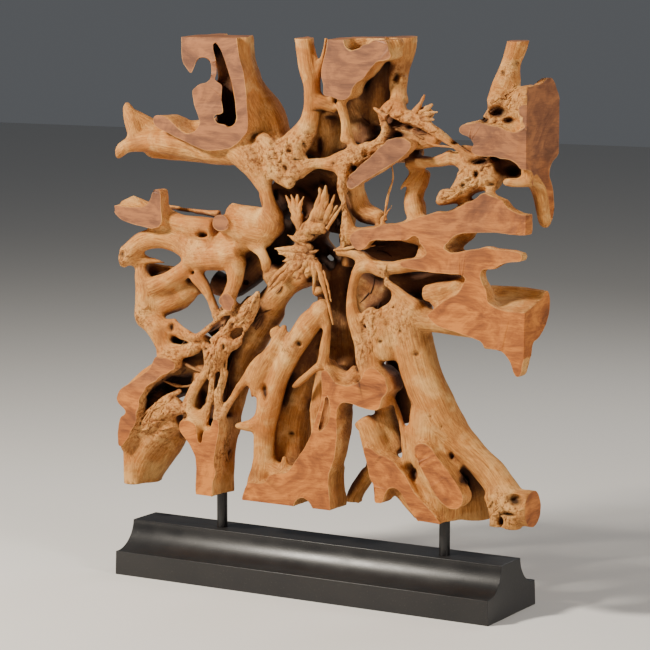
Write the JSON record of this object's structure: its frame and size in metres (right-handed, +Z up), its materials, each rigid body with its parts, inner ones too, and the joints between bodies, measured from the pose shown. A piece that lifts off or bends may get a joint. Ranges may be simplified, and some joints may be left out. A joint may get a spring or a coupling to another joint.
{
  "type": "root sculpture on stand",
  "caption": "Slab-sawn weathered root with flat cut faces and twisted strands, held above a long moulded base by slim rods, as a free-standing ornament.",
  "frame": {"origin": "middle of the base's underside, on the floor", "axes": "+X along the base to the end nearer the viewer, +Y to the back, +Z up"},
  "size_m": [1.08, 0.24, 1.2902],
  "materials": {
    "teak": "natural, dry, sawn faces smoother than the weathered roots",
    "base_paint": "satin black",
    "rod_left_paint": "satin black",
    "rod_right_paint": "satin black"
  },
  "bodies": {
    "root": {"teak_root": "teak", "base": "base_paint", "rod_left": "rod_left_paint", "rod_right": "rod_right_paint"}
  },
  "joints": []
}
